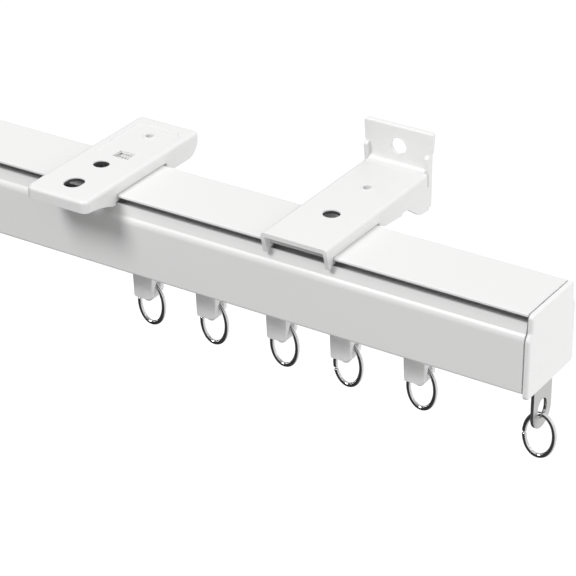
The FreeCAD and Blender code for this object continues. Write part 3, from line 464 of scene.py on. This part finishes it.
# Material: the shared fine surface feeds colour, roughness and a shallow bump of a Principled shader.
def surface(name, color, roughness, variation, grain, bump, stretch=(1.0, 1.0, 1.0),
            metallic=0.0, coat=0.0, milk=0.0, specular=0.5):
    mat = bpy.data.materials.new(name)
    mat.use_nodes = True
    tree = mat.node_tree
    shader = tree.nodes["Principled BSDF"]
    group = tree.nodes.new("ShaderNodeGroup")
    group.node_tree = fineSurface
    group.inputs["Color"].default_value = (*color, 1.0)
    group.inputs["Roughness"].default_value = roughness
    group.inputs["Variation"].default_value = variation
    group.inputs["Grain Scale"].default_value = grain
    group.inputs["Stretch"].default_value = stretch
    tree.links.new(group.outputs["Color"], shader.inputs["Base Color"])
    tree.links.new(group.outputs["Roughness"], shader.inputs["Roughness"])
    relief = tree.nodes.new("ShaderNodeBump")
    relief.inputs["Strength"].default_value = bump
    relief.inputs["Distance"].default_value = surfaceLook["reliefDepth"]
    tree.links.new(group.outputs["Height"], relief.inputs["Height"])
    tree.links.new(relief.outputs["Normal"], shader.inputs["Normal"])
    shader.inputs["Metallic"].default_value = metallic
    shader.inputs["Coat Weight"].default_value = coat
    shader.inputs["Coat Roughness"].default_value = surfaceLook["coatRoughness"]
    shader.inputs["Specular IOR Level"].default_value = specular
    if milk > 0:
        shader.inputs["Subsurface Weight"].default_value = milk
        shader.inputs["Subsurface Radius"].default_value = surfaceLook["milkTint"]
        shader.inputs["Subsurface Scale"].default_value = surfaceLook["milkDepth"] * milk
    return mat


# Lays a second colour over the base colour: base where the mask is 0, the new colour where it is 1.
def layColor(mat, mask, color):
    tree = mat.node_tree
    baseColor = tree.nodes["Principled BSDF"].inputs["Base Color"]
    painted = baseColor.links[0].from_socket
    mix = tree.nodes.new("ShaderNodeMix")
    mix.data_type = "RGBA"
    tree.links.new(mask, mix.inputs["Factor"])
    tree.links.new(painted, mix.inputs[6])      # 6 and 7 are the two colours, A and B
    mix.inputs[7].default_value = (*color, 1.0)
    tree.links.new(mix.outputs[2], baseColor)


grooveShadeLook = {
    "lowest": -6.35e-3,
    "highest": -4.07e-3,
    "farthest": 10.80e-3,   # from the rail's middle
    "fade": 0.12e-3,
    # painted shade: this grey stands in for the shadow deep in the groove under the top flange
    "color": (0.42, 0.42, 0.42),
}


# Painted shade in the rail's grooves: the mask is 1 where z lies between the lowest and the highest and
# |y| is under the farthest, and fades to 0 over a short way; there a darker grey is laid over the paint.
def paintedGrooveShade(mat):
    tree, fade = mat.node_tree, grooveShadeLook["fade"]
    lowest, highest, farthest = (grooveShadeLook[key] for key in ("lowest", "highest", "farthest"))
    y, z = objectPlace(tree)[1:]
    above = fadeNode(tree, z, lowest - fade, lowest)
    below = fadeNode(tree, z, highest + fade, highest)
    inside = fadeNode(tree, mathNode(tree, "ABSOLUTE", y), farthest + fade, farthest)
    mask = mathNode(tree, "MULTIPLY", mathNode(tree, "MULTIPLY", above, below), inside)
    layColor(mat, mask, grooveShadeLook["color"])


holeShadeLook = {
    # x and y of the axis, radius, half of the straight stretch along y
    "holes": [
        (-0.6e-3, -3.1e-3, 2.25e-3, 0.0),
        (0.0, -16.1e-3, 2.55e-3, 0.6e-3),
        (67.8e-3, 4.6e-3, 2.40e-3, 0.0),
    ],
    "rim": 0.34e-3,         # the rim keeps the plain paint this far down from the top face; the painted shade begins below it
    "reach": 0.10e-3,       # how far into the sheet the dark wall is counted
    "fade": 0.06e-3,
    # painted shade: near black stands in for the shadow inside the screw holes
    "color": (0.06, 0.06, 0.06),
}


# Painted shade on the walls of the upright screw holes: the mask is 1 below the rim and nearer to a hole's
# axis than its radius and the reach. In a slot the distance is taken from the straight stretch.
def paintedHoleShade(mat):
    tree, fade, rim = mat.node_tree, holeShadeLook["fade"], holeShadeLook["rim"]
    x, y, z = objectPlace(tree)
    mask = fadeNode(tree, z, -rim, -rim - fade)
    nearest = None
    for holeX, holeY, radius, straight in holeShadeLook["holes"]:
        across = mathNode(tree, "SUBTRACT", x, holeX)
        along = mathNode(tree, "ABSOLUTE", mathNode(tree, "SUBTRACT", y, holeY))
        along = mathNode(tree, "MAXIMUM", mathNode(tree, "SUBTRACT", along, straight), 0.0)
        square = mathNode(tree, "MULTIPLY_ADD", across, across, mathNode(tree, "MULTIPLY", along, along))
        edge = radius + holeShadeLook["reach"]
        near = fadeNode(tree, mathNode(tree, "SQRT", square), edge + fade, edge)
        nearest = near if nearest is None else mathNode(tree, "MAXIMUM", nearest, near)
    layColor(mat, mathNode(tree, "MULTIPLY", mask, nearest), holeShadeLook["color"])


# Sets one material for the whole mesh.
def dress(obj, mat):
    if obj.material_slots:
        for place in obj.material_slots:
            place.material = mat
    else:
        obj.data.materials.append(mat)


looks = {slot: surface(**finish) for slot, finish in finishes.items()}
# painted shade: darker grey in the rail's grooves, standing in for the shadow under the top flange
paintedGrooveShade(looks["rail_paint"])
# painted shade: near black on the walls of the brackets' screw holes, standing in for their shadow
paintedHoleShade(looks["bracket_paint"])
slotOf = {part["node"]: part["material_slot"] for part in frame["record"]["subparts"]}
for node, obj in frame["nodes"].items():
    dress(obj, looks[slotOf[node]])
for node, obj in eased.items():
    dress(obj, looks[slotOf[node]])
dress(rail, looks["rail_paint"])
for obj in rings:
    dress(obj, looks["ring_chrome"])
for obj in coils:
    dress(obj, looks["spring_steel"])
print("materials set:", len(looks))


# stage, light and camera

studio = {
    # strength of the light from a direction: the level and its lean, held between the least and the most
    "light": {"level": 0.57, "slope": (0.52, 0.30, 0.12), "least": 0.0, "most": 3.0},
    "mirror": {"level": 0.34, "slope": (1.50, 1.20, 0.90), "least": 0.04, "most": 1.0},
    "backdrop": 1.0,
    "floorDrop": 0.30,
    "floorReach": 6.0,
    "floorWhite": (0.50, 0.50, 0.50),
    "floorSeen": 0.60,      # glow that only the camera sees, so the paper looks white and keeps its shadow
    "side": {"from": (1.90, 0.30, 0.50), "size": 0.90, "power": 1.0},
    "front": {"from": (-0.42, -1.00, 1.15), "size": 0.62, "power": 16.8},
}


# Strength = level + slope . direction, held between the least and the most.
def leaningLight(tree, direction, lean):
    across = tree.nodes.new("ShaderNodeVectorMath")
    across.operation = "DOT_PRODUCT"
    across.inputs[1].default_value = lean["slope"]
    tree.links.new(direction, across.inputs[0])
    held = tree.nodes.new("ShaderNodeClamp")
    held.inputs["Min"].default_value = lean["least"]
    held.inputs["Max"].default_value = lean["most"]
    tree.links.new(mathNode(tree, "ADD", across.outputs["Value"], lean["level"]), held.inputs["Value"])
    return held.outputs[0]


# Two shaders mixed: the first where the factor is 0 and the second where it is 1.
def mixShaders(tree, factor, first, second):
    mix = tree.nodes.new("ShaderNodeMixShader")
    for place, output in enumerate((factor, first, second)):
        tree.links.new(output, mix.inputs[place])
    return mix.outputs[0]


# One shader out of three: for the camera, for mirrors and for all other rays.
def byRay(tree, camera, mirrors, others):
    path = tree.nodes.new("ShaderNodeLightPath")
    unseen = mixShaders(tree, path.outputs["Is Glossy Ray"], others, mirrors)
    return mixShaders(tree, path.outputs["Is Camera Ray"], unseen, camera)


# White for the camera; light that leans to the right and to the back for the surfaces, more so for
# what shiny metal sees.
def makeSky():
    world = bpy.data.worlds.new("studioSky")
    bpy.context.scene.world = world
    world.use_nodes = True
    tree = world.node_tree
    tree.nodes.clear()
    leave = tree.nodes.new("ShaderNodeOutputWorld")
    where = tree.nodes.new("ShaderNodeTexCoord").outputs["Generated"]
    backdrop, mirrors, surfaces = (tree.nodes.new("ShaderNodeBackground") for _ in range(3))
    for shader in (backdrop, mirrors, surfaces):
        shader.inputs["Color"].default_value = (1.0, 1.0, 1.0, 1.0)
    backdrop.inputs["Strength"].default_value = studio["backdrop"]
    tree.links.new(leaningLight(tree, where, studio["mirror"]), mirrors.inputs["Strength"])
    tree.links.new(leaningLight(tree, where, studio["light"]), surfaces.inputs["Strength"])
    seen = byRay(tree, backdrop.outputs[0], mirrors.outputs[0], surfaces.outputs[0])
    tree.links.new(seen, leave.inputs["Surface"])


# White paper under the object. For the camera it is plain lit paper with a little glow. Towards the
# object it gives the same leaning light as the sky, by the direction of each spot from the object.
def makeFloor():
    mesh = bpy.data.meshes.new("floor")
    reach, drop = studio["floorReach"], -studio["floorDrop"]
    corners = [(-reach, -reach, drop), (reach, -reach, drop), (reach, reach, drop), (-reach, reach, drop)]
    mesh.from_pydata(corners, [], [(0, 1, 2, 3)])
    floor = bpy.data.objects.new("floor", mesh)
    bpy.context.scene.collection.objects.link(floor)
    paper = surface("floorPaper", studio["floorWhite"], roughness=0.9, variation=0.004, grain=300.0,
                    bump=0.0, specular=0.0)
    tree = paper.node_tree
    glow, mirrors, surfaces = (tree.nodes.new("ShaderNodeEmission") for _ in range(3))
    glow.inputs["Strength"].default_value = studio["floorSeen"]
    lifted = tree.nodes.new("ShaderNodeAddShader")
    tree.links.new(tree.nodes["Principled BSDF"].outputs[0], lifted.inputs[0])
    tree.links.new(glow.outputs[0], lifted.inputs[1])
    towards = tree.nodes.new("ShaderNodeVectorMath")
    towards.operation = "NORMALIZE"
    tree.links.new(tree.nodes.new("ShaderNodeTexCoord").outputs["Object"], towards.inputs[0])
    direction = towards.outputs["Vector"]
    tree.links.new(leaningLight(tree, direction, studio["mirror"]), mirrors.inputs["Strength"])
    tree.links.new(leaningLight(tree, direction, studio["light"]), surfaces.inputs["Strength"])
    above = byRay(tree, lifted.outputs[0], mirrors.outputs[0], surfaces.outputs[0])
    below = tree.nodes.new("ShaderNodeBsdfTransparent").outputs[0]     # clear when seen from underneath
    backfacing = tree.nodes.new("ShaderNodeNewGeometry").outputs["Backfacing"]
    seen = mixShaders(tree, backfacing, above, below)
    tree.links.new(seen, tree.nodes["Material Output"].inputs["Surface"])
    dress(floor, paper)


# Round soft lamp that looks at the origin from its place.
def makeLamp(name, setup):
    data = bpy.data.lights.new(name, "AREA")
    data.shape = "DISK"
    data.size = setup["size"]
    data.energy = setup["power"]
    lamp = bpy.data.objects.new(name, data)
    place = Vector(setup["from"])
    lamp.location = place
    lamp.rotation_euler = place.to_track_quat("Z", "Y").to_euler()
    bpy.context.scene.collection.objects.link(lamp)


lens = {
    "place": (0.3694, -0.4889, 0.2915),
    "azimuth": 0.5682,
    "elevation": 0.4967,
    "roll": -0.0023,
    "focal": 155.6,
    "sensor": 36.0,
    "nearest": 0.01,
}


# Camera axes: right = (cos a, sin a, 0), back = (sin a cos e, -cos a cos e, sin e), up = back x right,
# then right and up are turned by the roll.
def makeCamera():
    a, e, roll = lens["azimuth"], lens["elevation"], lens["roll"]
    right = Vector((math.cos(a), math.sin(a), 0))
    back = Vector((math.sin(a) * math.cos(e), -math.cos(a) * math.cos(e), math.sin(e)))
    up = back.cross(right)
    turnedRight = right * math.cos(roll) + up * math.sin(roll)
    turnedUp = up * math.cos(roll) - right * math.sin(roll)
    data = bpy.data.cameras.new("photoCamera")
    data.lens = lens["focal"]
    data.sensor_width = lens["sensor"]
    data.clip_start = lens["nearest"]
    camera = bpy.data.objects.new("photoCamera", data)
    camera.matrix_world = Matrix((
        (turnedRight.x, turnedUp.x, back.x, lens["place"][0]),
        (turnedRight.y, turnedUp.y, back.y, lens["place"][1]),
        (turnedRight.z, turnedUp.z, back.z, lens["place"][2]),
        (0, 0, 0, 1),
    ))
    bpy.context.scene.collection.objects.link(camera)
    bpy.context.scene.camera = camera


makeSky()
makeFloor()
makeLamp("sideLamp", studio["side"])
makeLamp("frontLamp", studio["front"])
makeCamera()
bpy.context.scene.view_settings.view_transform = "Standard"
print("stage, light and camera set")
